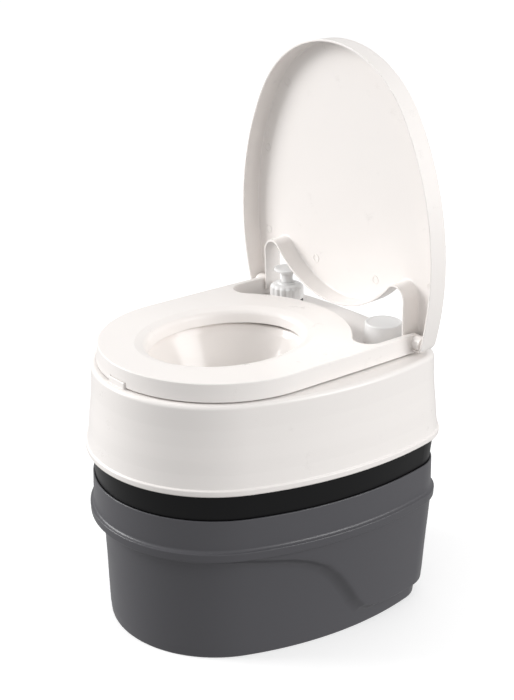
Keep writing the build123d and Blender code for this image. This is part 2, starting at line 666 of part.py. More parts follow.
with BuildPart() as lid_inside:
    with BuildSketch(Plane.XY.offset(LID_RIM_Z - 1)):
        add(lid_plan(-LID_WALL))
    extrude(amount=LID_TOP_Z - LID_WALL - LID_RIM_Z + 1)
    for side in (1, -1):
        add(latch_cut(side, (LID_ARM_INNER_X + LID_WALL, 159.5), (HINGE_Y - 4, HINGE_Y + 20),
                      (LID_RIM_Z - 1, LID_TOP_Z - LID_WALL)))

with BuildPart() as closed_lid:
    add(stack([(LID_RIM_Z, 0), (LID_TOP_Z - 5, -0.8), (LID_TOP_Z - 1.5, -2.4), (LID_TOP_Z, -5)], lid_plan))
    add(hinge_end(11, LID_RIM_Z, LID_TOP_Z, ARM_END), mode=Mode.INTERSECT)
    add(lid_inside.part, mode=Mode.SUBTRACT)
    for x in (156.5, -160.5):
        add(rod(along_x(x, HINGE_Y, HINGE_Z), 9, 4))
    for x in (LID_ARM_INNER_X - 2, -160.2):
        add(rod(along_x(x, HINGE_Y, HINGE_Z), PIN_R + PIN_FIT, 160.2 - LID_ARM_INNER_X + 2),
            mode=Mode.SUBTRACT)

hinge_line = Axis((0, HINGE_Y, HINGE_Z), (1, 0, 0))
with BuildPart() as lid:
    add(closed_lid.part.rotate(hinge_line, -LID_OPEN_DEG))
save(lid, "lid")
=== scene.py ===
"""Cassette toilet: moulded shells, fittings, finishes and a plain studio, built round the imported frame."""
import json
from math import atan2, ceil, cos, hypot, pi, radians, sin, sqrt

import bmesh
import bpy
import numpy as np
from bpy.props import FloatProperty, FloatVectorProperty, PointerProperty
from mathutils import Matrix, Vector
from mathutils.geometry import delaunay_2d_cdt


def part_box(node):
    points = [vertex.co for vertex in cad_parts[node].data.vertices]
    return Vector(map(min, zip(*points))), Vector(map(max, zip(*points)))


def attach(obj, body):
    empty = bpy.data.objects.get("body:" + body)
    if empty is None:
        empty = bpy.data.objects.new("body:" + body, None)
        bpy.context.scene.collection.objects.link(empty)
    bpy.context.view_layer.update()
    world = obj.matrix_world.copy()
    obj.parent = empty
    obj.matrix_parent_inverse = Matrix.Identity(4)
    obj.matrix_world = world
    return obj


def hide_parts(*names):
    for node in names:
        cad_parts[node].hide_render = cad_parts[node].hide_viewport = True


bl_info = {
    "name": "Cassette toilet",
    "version": (1, 0, 0),
    "blender": (4, 5, 0),
    "location": "View3D > Sidebar > Toilet",
    "description": "Builds a portable two-tank toilet round its CAD frame",
    "category": "Object",
}

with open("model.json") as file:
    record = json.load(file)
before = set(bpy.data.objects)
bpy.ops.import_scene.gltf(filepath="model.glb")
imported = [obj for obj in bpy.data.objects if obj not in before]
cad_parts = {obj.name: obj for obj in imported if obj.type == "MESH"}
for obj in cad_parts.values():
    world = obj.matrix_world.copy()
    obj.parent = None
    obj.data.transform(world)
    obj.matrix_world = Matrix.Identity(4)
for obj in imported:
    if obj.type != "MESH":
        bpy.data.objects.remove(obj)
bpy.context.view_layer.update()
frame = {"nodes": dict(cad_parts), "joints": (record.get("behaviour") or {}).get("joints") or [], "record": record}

MM = 0.001

# Plan outline of the tanks, in millimetres: tangent arcs, with the front towards -Y.
TANK_FRONT_Y, TANK_REAR_Y = -206.5, 206.5
TANK_WIDTH, TANK_WIDEST_Y = 361.5, 63.0
TANK_SIDE_R, TANK_CORNER_R, TANK_REAR_R = 442.6, 62.7, 835.2

# Heights of the tanks, the seat and the lid, in millimetres.
DECK_Z = 337.0
SEAT_LOW_Z, SEAT_LIP_Z, SEAT_TOP_Z = 338.8, 343.0, 361.0
LID_RIM_Z, LID_TOP_Z = 339.5, 367.0
COLLAR_TOP_Z = 193.7
TANK_TOP_Z = 178.0

SHARP_DEG = 38.0            # shells are shaded flat across edges sharper than this
TURNED_SHARP_DEG = 50.0     # the same for turned pieces
WELD, SLIVER = 1e-6, 1e-7   # metres: points that merge, and edges that are taken out


def joint(name):
    """A joint of the frame, by name."""
    return next(j for j in frame["joints"] if j["name"] == name)


def middle(node):
    """Centre of a CAD node's box, in millimetres."""
    low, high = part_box(node)
    return (low + high) / 2 / MM


HINGE = Vector(joint("lid_hinge")["pos_m"]) / MM
LID_OPEN = -radians(joint("lid_hinge")["range_deg"][0])
THROAT = middle("lower_seal")
PUMP = middle("pump_knob")
FILLER = middle("filler_cap")
SPOUT = middle("spout_cap")


ARM_PAST_HINGE = 9.0        # how far the seat's and the lid's arms reach behind the hinge line

# --- Outlines -------------------------------------------------------------------------------------

def direction(start, end):
    """Angle of the way from one point to another."""
    return atan2(end[1] - start[1], end[0] - start[0])


def arc(centre, radius, start, end, step, hollow=False):
    """Points and outward normals on an arc, without its last point."""
    count = max(2, ceil(abs(end - start) * radius / step))
    angles = np.linspace(start, end, count, endpoint=False)
    ways = np.c_[np.cos(angles), np.sin(angles)]
    return np.array(centre) + radius * ways, -ways if hollow else ways


def straight(start, end, step):
    """Points and outward normals on a line run with the material on its left, without its last point."""
    start, end = np.array(start, float), np.array(end, float)
    length = np.linalg.norm(end - start)
    count = max(1, ceil(length / step))
    shares = np.linspace(0, 1, count, endpoint=False)[:, None]
    way = (end - start) / max(length, 1e-9)
    return start + shares * (end - start), np.tile((way[1], -way[0]), (count, 1))


def both_halves(pieces, rear):
    """Closed outline from the pieces of its right half, which run from the front to the rear."""
    points = np.vstack([p for p, _ in pieces] + [np.array([rear])])
    normals = np.vstack([n for _, n in pieces] + [np.array([(0.0, 1.0)])])
    flip = np.array((-1.0, 1.0))
    return (np.vstack([points, (points * flip)[-2:0:-1]]),
            np.vstack([normals, (normals * flip)[-2:0:-1]]))


def front_radius(front_y, width, widest_y, side_r):
    """Radius of the front arc that is tangent to both side arcs."""
    side_x, depth = width / 2 - side_r, widest_y - front_y
    return (side_r**2 - side_x**2 - depth**2) / (2 * (side_r - depth))


def tank_outline(step):
    """Egg of tangent arcs that both tanks and the band share."""
    front_r = front_radius(TANK_FRONT_Y, TANK_WIDTH, TANK_WIDEST_Y, TANK_SIDE_R)
    front = (0, TANK_FRONT_Y + front_r)
    side = (TANK_WIDTH / 2 - TANK_SIDE_R, TANK_WIDEST_Y)
    rear = (0, TANK_REAR_Y - TANK_REAR_R)
    side_gap, rear_gap = TANK_SIDE_R - TANK_CORNER_R, TANK_REAR_R - TANK_CORNER_R
    span = hypot(side[0] - rear[0], side[1] - rear[1])
    along = (side_gap**2 - rear_gap**2 + span**2) / (2 * span)
    across = sqrt(side_gap**2 - along**2)
    way = ((rear[0] - side[0]) / span, (rear[1] - side[1]) / span)
    corner = (side[0] + along * way[0] - across * way[1], side[1] + along * way[1] + across * way[0])
    to_front, to_corner = direction(side, front), direction(side, corner)
    to_rear = direction(rear, corner)
    return both_halves([arc(front, front_r, -pi / 2, to_front, step),
                        arc(side, TANK_SIDE_R, to_front, to_corner, step),
                        arc(corner, TANK_CORNER_R, to_corner, to_rear, step),
                        arc(rear, TANK_REAR_R, to_rear, pi / 2, step)], (0, TANK_REAR_Y))


def armed_outline(step, front_y, width, widest_y, side_r, lobe_r, lobe_y, notch_r, inner_x, corner_r):
    """Round front, two arms back to the hinge, and a lobe between two notches for the fittings."""
    front_r = front_radius(front_y, width, widest_y, side_r)
    front, side = (0, front_y + front_r), (width / 2 - side_r, widest_y)
    to_front = direction(side, front)
    end_y = HINGE.y + ARM_PAST_HINGE
    turn = np.arcsin((end_y - corner_r - widest_y) / (side_r - corner_r))
    outer = (side[0] + (side_r - corner_r) * cos(turn), side[1] + (side_r - corner_r) * sin(turn))
    inner = (inner_x + corner_r, end_y - corner_r)
    notch = (inner_x - notch_r, lobe_y + sqrt((lobe_r + notch_r)**2 - (inner_x - notch_r)**2))
    to_notch = direction((0, lobe_y), notch)
    return both_halves([arc(front, front_r, -pi / 2, to_front, step),
                        arc(side, side_r, to_front, turn, step),
                        arc(outer, corner_r, turn, pi / 2, step / 2),
                        straight((outer[0], end_y), (inner[0], end_y), step),
                        arc(inner, corner_r, pi / 2, pi, step / 2),
                        straight((inner_x, inner[1]), (inner_x, notch[1]), step),
                        arc(notch, notch_r, 0, to_notch - pi, step / 2, hollow=True),
                        arc((0, lobe_y), lobe_r, to_notch, pi / 2, step)], (0, lobe_y + lobe_r))


def seat_outline(step):
    """Plan of the seat."""
    return armed_outline(step, front_y=-190.3, width=291.9, widest_y=20.0, side_r=6000.0, lobe_r=142.0,
                         lobe_y=-15.5, notch_r=18.5, inner_x=133.5, corner_r=5.2)


def lid_outline(step):
    """Plan of the lid when closed."""
    return armed_outline(step, front_y=-197.5, width=353.0, widest_y=52.0, side_r=348.6, lobe_r=140.0,
                         lobe_y=-5.5, notch_r=14.0, inner_x=129.5, corner_r=10.5)


def ellipse(count, half_x, half_y, centre_y, centre_x=0.0):
    """Points and outward normals round an ellipse, from the front, counter-clockwise."""
    angles = -pi / 2 + np.arange(count) * 2 * pi / count
    points = np.c_[centre_x + half_x * np.cos(angles), centre_y + half_y * np.sin(angles)]
    normals = np.c_[np.cos(angles) / half_x, np.sin(angles) / half_y]
    return points, normals / np.linalg.norm(normals, axis=1)[:, None]


def rounded(corners, steps=5):
    """Path through (a, b, radius) corners, each turned by an arc of its radius."""
    path = [corners[0][:2]]
    for before, at, after in zip(corners, corners[1:], corners[2:]):
        point, radius = Vector(at[:2]), at[2]
        back, ahead = (Vector(before[:2]) - point), (Vector(after[:2]) - point)
        half_turn = back.angle(ahead) / 2
        reach = min(radius / max(np.tan(half_turn), 1e-6), 0.48 * back.length, 0.48 * ahead.length)
        if radius == 0 or half_turn > pi / 2 - 0.01:
            path.append(tuple(point))
            continue
        start, end = point + back.normalized() * reach, point + ahead.normalized() * reach
        centre = point + (back.normalized() + ahead.normalized()).normalized() * (reach / cos(half_turn))
        size = (start - centre).length
        first = atan2(start.y - centre.y, start.x - centre.x)
        sweep = (atan2(end.y - centre.y, end.x - centre.x) - first + pi) % (2 * pi) - pi
        for share in np.linspace(0, 1, steps + 1):
            angle = first + share * sweep
            path.append((centre.x + size * cos(angle), centre.y + size * sin(angle)))
    return path + [corners[-1][:2]]


def smooth(low, high, value):
    """0 below low, 1 above high, and an even S between them."""
    share = np.clip((value - low) / (high - low), 0, 1)
    return share * share * (3 - 2 * share)


def inside(points, polygon):
    """Which points lie inside a closed polygon."""
    x, y = points[:, 0, None], points[:, 1, None]
    ax, ay = polygon[:, 0], polygon[:, 1]
    bx, by = np.roll(ax, -1), np.roll(ay, -1)
    crosses = (ay > y) != (by > y)
    at = ax + (y - ay) * (bx - ax) / np.where(by == ay, 1e-9, by - ay)
    return (crosses & (x < at)).sum(1) % 2 == 1


# --- Skins ----------------------------------------------------------------------------------------

class Skin:
    """One closed surface in millimetres, put together from loops, bands between them and fills."""

    CLEAR_OF_EDGE = 0.6     # share of the spacing that a fill's points keep from its edges

    def __init__(self):
        self.points = []
        self.faces = []

    def loop(self, xy, z):
        """Adds a ring of points at a height, or at a height for each point."""
        first = len(self.points)
        heights = np.broadcast_to(np.asarray(z, float), (len(xy),))
        self.points += [(p[0], p[1], h) for p, h in zip(xy, heights)]
        return list(range(first, first + len(xy)))

    def band(self, low, high):
        """Quads between two loops of the same length."""
        ahead_low, ahead_high = low[1:] + low[:1], high[1:] + high[:1]
        self.faces += [quad for quad in zip(low, ahead_low, ahead_high, high)]

    def bands(self, loops):
        """Quads between each two loops that follow each other; returns the last loop."""
        for low, high in zip(loops, loops[1:]):
            self.band(low, high)
        return loops[-1]

    def sweep(self, outline, path):
        """Bands along a path of (outward growth, height) round an outline."""
        points, normals = outline
        return [self.loop(points + normals * grow, z) for grow, z in path]

    def fill(self, outer, holes=(), spacing=9.0, crown=None):
        """Even triangles between one loop and the holes in it; crown(distance) lifts inner points."""
        rings = [np.array([self.points[i][:2] for i in ring]) for ring in (outer, *holes)]
        level = self.points[outer[0]][2]
        edge = np.vstack(rings)
        low, high = edge.min(0), edge.max(0)
        rows = np.arange(low[1] + spacing / 2, high[1], spacing * sqrt(0.75))
        grid = np.array([(x + spacing / 2 * (row % 2), y) for row, y in enumerate(rows)
                         for x in np.arange(low[0], high[0], spacing)])
        keep = inside(grid, rings[0])
        for ring in rings[1:]:
            keep &= ~inside(grid, ring)
        grid = grid[keep]
        gap = np.array([np.hypot(*(edge - p).T).min() for p in grid]).reshape(-1)
        clear = gap > self.CLEAR_OF_EDGE * spacing
        grid, gap = grid[clear], gap[clear]
        lift = crown(gap) if crown else np.zeros(len(grid))
        known = [i for ring in (outer, *holes) for i in ring]
        known += self.loop(grid, level + lift)
        ends, start = [], 0
        for ring in rings:
            ends += [(start + i, start + (i + 1) % len(ring)) for i in range(len(ring))]
            start += len(ring)
        flat = [Vector((self.points[i][0], self.points[i][1])) for i in known]
        made = delaunay_2d_cdt(flat, ends, [], 0, 1e-5)
        spots = np.array([tuple(v) for v in made[0]])
        source = [known[ids[0]] for ids in made[3]]
        triangles = np.array([f for f in made[2] if len(f) == 3])
        centres = spots[triangles].mean(1)
        good = inside(centres, rings[0])
        for ring in rings[1:]:
            good &= ~inside(centres, ring)
        self.faces += [tuple(source[i] for i in t) for t in triangles[good]]

    def fan(self, ring, z=None):
        """Closes a round loop with a disc that has a point at its centre."""
        points = np.array([self.points[i] for i in ring])
        hub = self.loop([points.mean(0)[:2]], points[:, 2].mean() if z is None else z)[0]
        self.faces += [(a, b, hub) for a, b in zip(ring, ring[1:] + ring[:1])]

    def mesh(self, name, turn=None, sharp=SHARP_DEG, warp=None):
        """The finished mesh in metres, with its faces turned outwards."""
        points = np.array(self.points, float)
        if warp:
            points = warp(points)
        if turn:
            points = np.array([turn @ Vector(p) for p in points])
        data = bpy.data.meshes.new(name)
        data.from_pydata((points * MM).tolist(), [], self.faces)
        work = bmesh.new()
        work.from_mesh(data)
        bmesh.ops.remove_doubles(work, verts=work.verts, dist=WELD)
        bmesh.ops.dissolve_degenerate(work, edges=work.edges, dist=SLIVER)
        bmesh.ops.recalc_face_normals(work, faces=work.faces)
        work.to_mesh(data)
        work.free()
        data.polygons.foreach_set("use_smooth", [True] * len(data.polygons))
        data.set_sharp_from_angle(angle=radians(sharp))
        return data


def place(data, finish, body, slot, nodes=()):
    """Links a mesh as a piece that rides on a body and stands for CAD nodes."""
    piece = bpy.data.objects.new(data.name, data)
    bpy.context.scene.collection.objects.link(piece)
    data.materials.clear()
    data.materials.append(finish)
    normals = piece.modifiers.new("even_normals", "WEIGHTED_NORMAL")
    normals.keep_sharp = True
    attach(piece, body)
    if nodes:
        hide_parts(*nodes)
    return piece


def cut(data, boxes, name):
    """Takes boxes, given as (low, high) corners in millimetres, out of a closed mesh."""
    work = bmesh.new()
    for low, high in boxes:
        size = Vector(high) - Vector(low)
        where = Matrix.Translation((Vector(low) + Vector(high)) / 2 * MM)
        bmesh.ops.create_cube(work, size=1.0, matrix=where @ Matrix.Diagonal((*(size * MM), 1.0)))
    tool_data = bpy.data.meshes.new(name + "_cutter")
    work.to_mesh(tool_data)
    work.free()
    tool = bpy.data.objects.new(name + "_cutter", tool_data)
    body = bpy.data.objects.new(name + "_blank", data)
    for piece in (tool, body):
        bpy.context.scene.collection.objects.link(piece)
    change = body.modifiers.new("cut", "BOOLEAN")
    change.operation, change.object, change.solver = "DIFFERENCE", tool, "EXACT"
    graph = bpy.context.evaluated_depsgraph_get()
    made = bpy.data.meshes.new_from_object(body.evaluated_get(graph))
    made.name = name
    for piece in (tool, body):
        bpy.data.objects.remove(piece)
    bpy.data.meshes.remove(tool_data)
    made.set_sharp_from_angle(angle=radians(SHARP_DEG))
    return made


# --- Finishes -------------------------------------------------------------------------------------

class Value:
    """A shader socket on which sums are written as Python expressions."""

    def __init__(self, finish, socket):
        self.finish = finish
        self.socket = socket

    def _math(self, operation, first, second):
        return self.finish.node("Math", {"operation": operation}, {0: first, 1: second})

    def __add__(self, other):
        return self._math("ADD", self, other)

    __radd__ = __add__

    def __sub__(self, other):
        return self._math("SUBTRACT", self, other)

    def __rsub__(self, other):
        return self._math("SUBTRACT", other, self)

    def __mul__(self, other):
        return self._math("MULTIPLY", self, other)

    __rmul__ = __mul__


class Finish:
    """A material under construction: a Principled shader and the nodes that feed it."""

    def __init__(self, name, **constants):
        self.material = bpy.data.materials.new(name)
        self.material.use_nodes = True
        self.tree = self.material.node_tree
        self.shader = self.tree.nodes["Principled BSDF"]
        for socket, value in constants.items():
            self.shader.inputs[socket.replace("_", " ")].default_value = value
        self.place = self.node("TexCoord", output="Object")

    def node(self, kind, settings=None, inputs=None, output=0):
        """Adds a node, sets it up, gives its sockets values or links, and returns an output."""
        made = self.tree.nodes.new("ShaderNode" + kind)
        for name, value in (settings or {}).items():
            if name == "stops":
                for stop, (where, colour) in zip(made.color_ramp.elements, value):
                    stop.position, stop.color = where, colour
            else:
                setattr(made, name, value)
        for name, value in (inputs or {}).items():
            if isinstance(value, Value):
                self.tree.links.new(value.socket, made.inputs[name])
            else:
                made.inputs[name].default_value = value
        return Value(self, made.outputs[output])

    def noise(self, scale, detail=2.0, roughness=0.5):
        """Cloudy pattern in object space; scale is in waves a metre."""
        return self.node("TexNoise", None, {"Vector": self.place, "Scale": scale, "Detail": detail,
                                            "Roughness": roughness}, "Fac")

    def blend(self, share, first, second):
        """Mix of two colours."""
        return self.node("Mix", {"data_type": "RGBA"}, {"Factor": share, "A": (*first, 1.0),
                                                        "B": (*second, 1.0)}, 2)

    def feed(self, socket, value):
        """Links a value to a socket of the shader."""
        self.tree.links.new(value.socket, self.shader.inputs[socket])

    def relief(self, height, depth):
        """Bump of a given depth in metres."""
        self.feed("Normal", self.node("Bump", None, {"Height": height, "Distance": depth,
                                                     "Strength": 1.0}, "Normal"))


def shade(colour, change):
    """A colour made lighter or darker by a factor."""
    return tuple(min(1.0, c * change) for c in colour)


CLOUD_SCALE, FLOW_SCALE = 9.0, 38.0     # waves a metre


def moulded(name, colour, roughness, grain, grain_depth, spread=0.05, **constants):
    """Moulded plastic: faint cloudiness, a fine mould grain and slight flow unevenness in its gloss."""
    finish = Finish(name, **constants)
    cloud = finish.noise(CLOUD_SCALE, 3.0)
    fine = finish.noise(grain, 3.0, 0.6)
    flow = finish.noise(FLOW_SCALE, 2.0)
    finish.feed("Base Color", finish.blend(cloud * 0.7 + fine * 0.3, shade(colour, 1 - spread / 2),
                                           shade(colour, 1 + spread / 2)))
    finish.feed("Roughness", (flow - 0.5) * 0.12 + (fine - 0.5) * 0.06 + roughness)
    finish.relief(fine * 0.7 + flow * 0.3, grain_depth)
    return finish.material


STEEL_DARK, STEEL_LIGHT = (0.46, 0.46, 0.47), (0.62, 0.62, 0.63)


def finishes(colours):
    """Every finish of the toilet, by the record's slot name."""
    made = {}

    def add(name, colour, **settings):
        made[name] = moulded(name, colour, **settings)

    add("white_shell", colours.white, roughness=0.30, grain=900.0, grain_depth=0.000005, spread=0.012,
        IOR=1.5)
    # The bowl is the white plastic with its real gloss, but its colour is painted lighter than the white: painted
    # light for the inside of the bowl.
    add("bowl_gloss_painted_light", colours.bowl, roughness=0.14, grain=300.0, grain_depth=0.00001, spread=0.01,
        IOR=1.52)
    add("grey_tank", colours.grey, roughness=0.34, grain=1400.0, grain_depth=0.00003, spread=0.06,
        IOR=1.48)
    add("black_band", colours.black, roughness=0.34, grain=1200.0, grain_depth=0.00002, spread=0.2,
        Specular_IOR_Level=0.25)
    add("cap_grey", colours.fitting, roughness=0.34, grain=1000.0, grain_depth=0.000008, spread=0.02,
        IOR=1.5)
    add("rubber", colours.rubber, roughness=0.62, grain=800.0, grain_depth=0.00008, spread=0.2)
    add("rubber_pale", shade(colours.fitting, 0.95), roughness=0.6, grain=700.0, grain_depth=0.00005)
    add("clear_hose", shade(colours.fitting, 0.85), roughness=0.25, grain=500.0, grain_depth=0.00003)
    steel = Finish("screw_steel", Metallic=1.0)
    brushed = steel.noise(2200.0, 2.0)
    steel.feed("Base Color", steel.blend(brushed, STEEL_DARK, STEEL_LIGHT))
    steel.feed("Roughness", brushed * 0.2 + 0.25)
    steel.relief(brushed, 0.00001)
    made["screw_steel"] = steel.material
    return made


# --- Shapes ---------------------------------------------------------------------------------------

# Waste tank: (y, z) line of the rear panels' edge, (height, growth) of both walls, and then
# (growth, height, radius) of the foot and of the rib with the collar over it.
PANEL_EDGE = [(-160, 150), (-115, 141.5), (-87, 135.5), (-58, 130), (-33, 122), (-10, 109), (7, 92), (26, 66),
              (38, 46), (50, 32), (66, 25.5), (88, 23), (141, 21.5), (240, 20.5)]
FRONT_WALL = [(0, -24), (3, -22.0), (15, -20.9), (46, -19.9), (83, -18.9), (107, -17.8), (128, -16.6),
              (134, -15.6), (138, -12.8)]
REAR_WALL = [(0, -13.8), (28, -12.3), (38, -11.4), (64, -10.0), (92, -8.2), (109, -6.9), (129, -5.6),
             (142, -4.4)]
TANK_FOOT = [(-40, 0.0, 0), (-22.4, 0.0, 2.0), (-21.0, 14, 0)]
TANK_RIB = [(-12.8, 138.0, 0), (-9.5, 141.4, 3.0), (-1.4, 142.4, 1.6), (-0.9, 152.9, 1.2),
            (-5.2, 154.9, 5.0), (-6.0, COLLAR_TOP_Z, 0.9), (-8.3, COLLAR_TOP_Z, 0.9),
            (-8.6, TANK_TOP_Z, 0)]
WALL_HEIGHTS, WALL_ROWS = (5, 138), 96
STEP_ROUNDING, STEP_STEEPNESS = 0.22, 2.4
STEP_NARROWS_Y, NARROW_STEP = (40, 80), 7.0
FOOT_TO_WALL_Z, PANEL_TOP_Z = 4.5, 142.0
SPOUT_RECESS_X, SPOUT_RECESS_Z, SPOUT_RECESS_Y = 42.0, (62.0, 138.0), 150.0
TANK_MOUTH_R, CAVITY_INSET, CAVITY_REAR_Y = 57, 25.5, 145
CAVITY_HEIGHTS = (TANK_TOP_Z - 4, 120, 60, 3)


def edge_distance(y, z, line):
    """Signed distance to the panel's edge line, positive on the rear and upper side."""
    best = np.full(y.shape, 1e9)
    sign = np.zeros(y.shape)
    for (ay, az), (by, bz) in zip(line, line[1:]):
        dy, dz = by - ay, bz - az
        along = np.clip(((y - ay) * dy + (z - az) * dz) / (dy * dy + dz * dz), 0, 1)
        gap = np.hypot(y - ay - along * dy, z - az - along * dz)
        side = np.sign(dy * (z - az) - dz * (y - ay))
        closer = gap < best
        best = np.where(closer, gap, best)
        sign = np.where(closer, side, sign)
    return best * sign


def waste_tank_mesh(sizes):
    """Lower tank: inset front, raised rear panels behind an S-shaped step, rib, collar and cavity."""
    points, normals = tank_outline(1.8)
    skin = Skin()
    low = rounded(TANK_FOOT)
    front_z = [row[0] for row in FRONT_WALL]
    front_grow = [row[1] for row in FRONT_WALL]
    wall = [(np.interp(z, front_z, front_grow), z) for z in np.linspace(*WALL_HEIGHTS, WALL_ROWS)]
    rib = rounded(TANK_RIB, 7)
    path = [p for p in low if p[1] < FOOT_TO_WALL_Z] + wall + rib[1:]
    loops = []
    width = np.interp(points[:, 1], STEP_NARROWS_Y, (sizes.step_width, NARROW_STEP))
    for grow, z in path:
        around = np.full(len(points), float(grow))
        if FOOT_TO_WALL_Z < z < PANEL_TOP_Z:
            rear = np.interp(z, [row[0] for row in REAR_WALL], [row[1] for row in REAR_WALL])
            across = edge_distance(points[:, 1], np.full(len(points), z), PANEL_EDGE)
            climb = np.clip((across + width - 1) / width, 0, 1.4)**STEP_STEEPNESS
            share = np.clip((climb + 1 - np.hypot(climb - 1, STEP_ROUNDING)) / 2, 0, 1)
            around = around + share * np.maximum(rear - around, 0)
        ring = points + normals * around[:, None]
        in_recess = ((np.abs(ring[:, 0]) < SPOUT_RECESS_X) & (ring[:, 1] > 100)
                     & (SPOUT_RECESS_Z[0] < z < SPOUT_RECESS_Z[1]))
        ring[in_recess, 1] = SPOUT_RECESS_Y
        loops.append(skin.loop(ring, z))
    count = len(points)
    hole = ellipse(count, TANK_MOUTH_R, TANK_MOUTH_R, THROAT.y)[0]
    cavity = points - normals * CAVITY_INSET
    cavity[:, 1] = np.minimum(cavity[:, 1], CAVITY_REAR_Y)
    loops += [skin.loop(hole, z) for z in (TANK_TOP_Z, CAVITY_HEIGHTS[0])]
    loops += [skin.loop(cavity, z) for z in CAVITY_HEIGHTS]
    skin.bands(loops)
    skin.fan(loops[0])
    skin.fan(loops[-1])
    return skin.mesh("waste_tank_shell")


# Water tank: (growth, height, radius) of the wall, then of its inside, and how the deck softens behind.
WATER_BOTTOM_Z, WATER_FLOOR_Z, DECK_EDGE = 228.0, 231, -8.6
WATER_WALL = [(-8, WATER_BOTTOM_Z, 0), (1.5, WATER_BOTTOM_Z, 2.6), (1.5, 235.8, 2.4), (-0.5, 237.0, 1.4),
              (-2.8, 254, 25), (-4.2, 270, 30), (-6.2, 287, 30), (-7.8, 307, 40),
              (DECK_EDGE, DECK_Z, 5.5), (-26, DECK_Z, 0)]
WATER_INSIDE = ((-30, DECK_Z - 3), (-12, 320), (-6, 236), (-6, WATER_FLOOR_Z))
BACK_FROM_Y, BACK_TO_Y, BACK_DEPTH, BACK_REACH, BACK_DROP = 150, 196, 8.5, 1.9, 0.9
OUTLET_R = 54.2


def water_tank_mesh(sizes):
    """Upper tank: rolled rim, gently tapered wall and a rounded deck with the bowl's opening."""
    points, normals = tank_outline(2.6)
    skin = Skin()
    back = smooth(BACK_FROM_Y, BACK_TO_Y, points[:, 1])
    loops = []
    for grow, z in rounded(WATER_WALL, 8):
        reach = max(0.0, DECK_EDGE - grow)
        ring = points + normals * (grow - (BACK_REACH * reach * back)[:, None])
        drop = (DECK_Z - z) * BACK_DROP * back * (z > DECK_Z - BACK_DEPTH)
        loops.append(skin.loop(ring, z - drop))
    mouth = ellipse(200, sizes.bowl_half_width + 2, sizes.bowl_half_length + 2, sizes.bowl_y)[0]
    top = skin.bands(loops)
    rim = skin.loop(mouth, DECK_Z)
    skin.fill(top, [rim])
    under_rim = skin.loop(mouth, DECK_Z - 3)
    skin.band(rim, under_rim)
    inner = [skin.loop(points + normals * grow, z) for grow, z in WATER_INSIDE]
    skin.fill(inner[0], [under_rim])
    skin.bands(inner)
    hole = ellipse(120, OUTLET_R, OUTLET_R, THROAT.y)[0]
    floor_hole = skin.loop(hole, WATER_FLOOR_Z)
    skin.fill(inner[-1], [floor_hole], 20)
    under = skin.loop(hole, WATER_BOTTOM_Z)
    skin.band(floor_hole, under)
    skin.fill(loops[0], [under], 20)
    add_front_catch(skin)
    return skin.mesh("water_tank_shell")


def add_front_catch(skin):
    """Low catch on the deck's front edge, which the seat's notch drops over."""
    outline = rounded_rectangle(half_x=15.5, half_y=4.2, radius=1.5, centre=(0, -187.0))
    loops = skin.sweep(outline, [(0.8, DECK_Z - 1.5), (0.3, 343.6), (-0.2, 344.3), (-1.0, 344.7)])
    skin.bands(loops)
    skin.fan(loops[-1])
    skin.fan(loops[0])


def rounded_rectangle(half_x, half_y, radius, centre, step=1.0):
    """Points and outward normals round a rectangle with round corners."""
    parts = []
    for index, (side, end) in enumerate(((1, -1), (1, 1), (-1, 1), (-1, -1))):
        corner = (centre[0] + side * (half_x - radius), centre[1] + end * (half_y - radius))
        start = -pi / 2 + index * pi / 2
        parts.append(arc(corner, radius, start, start + pi / 2, step))
    points = np.vstack([p for p, _ in parts])
    normals = np.vstack([n for _, n in parts])
    return points, normals


# Bowl: (growth, height) of its rolled rim, its wall, and the heights over which its corners are eased.
BOWL_RIM = [(3.5, DECK_Z - 0.2), (3.9, DECK_Z + 0.9), (3.0, DECK_Z + 1.7), (1.0, DECK_Z + 1.9),
            (-1.2, DECK_Z + 1.6), (-2.6, DECK_Z + 0.2), (-3.2, DECK_Z - 2.5)]
BOWL_WALL, BOWL_OUTSIDE, BOWL_TOP_Z, BOWL_BOTTOM_Z = 3.2, 0.2, 331, 231
BOWL_EASE = (-9, -4.5, 0, 4.5, 9)
BOWL_OUTSIDE_HEIGHTS = (BOWL_BOTTOM_Z, 252, 285, 318, 336)


def bowl_mesh(sizes):
    """Glossy bowl: rolled rim on the deck, oval funnel and round outlet."""
    count = 160
    skin = Skin()
    half_x, half_y, y = sizes.bowl_half_width, sizes.bowl_half_length, sizes.bowl_y
    top = ellipse(count, half_x, half_y, y)
    loops = skin.sweep(top, BOWL_RIM)
    levels = [(DECK_Z, half_x, half_y, y), (318, 93, 111, y + 1), (285, 76, 90, y + 3),
              (252, 58, 62, THROAT.y), (BOWL_BOTTOM_Z, 53, 54, THROAT.y)]
    z_known = [row[0] for row in levels][::-1]

    def ring_at(z, inset):
        """Oval section at a height."""
        half_w, half_l, centre = [np.interp(z, z_known, [row[i] for row in levels][::-1])
                                  for i in (1, 2, 3)]
        return ellipse(count, half_w - inset, half_l - inset, centre)[0]

    heights = np.linspace(BOWL_TOP_Z, BOWL_BOTTOM_Z, 34)
    soft = [np.mean([ring_at(z + ease, BOWL_WALL) for ease in BOWL_EASE], axis=0) for z in heights]
    loops += [skin.loop(ring, z) for ring, z in zip(soft, heights)]
    loops += [skin.loop(ring_at(z, BOWL_OUTSIDE), z) for z in BOWL_OUTSIDE_HEIGHTS]
    skin.bands(loops + [loops[0]])
    return skin.mesh("bowl_liner")


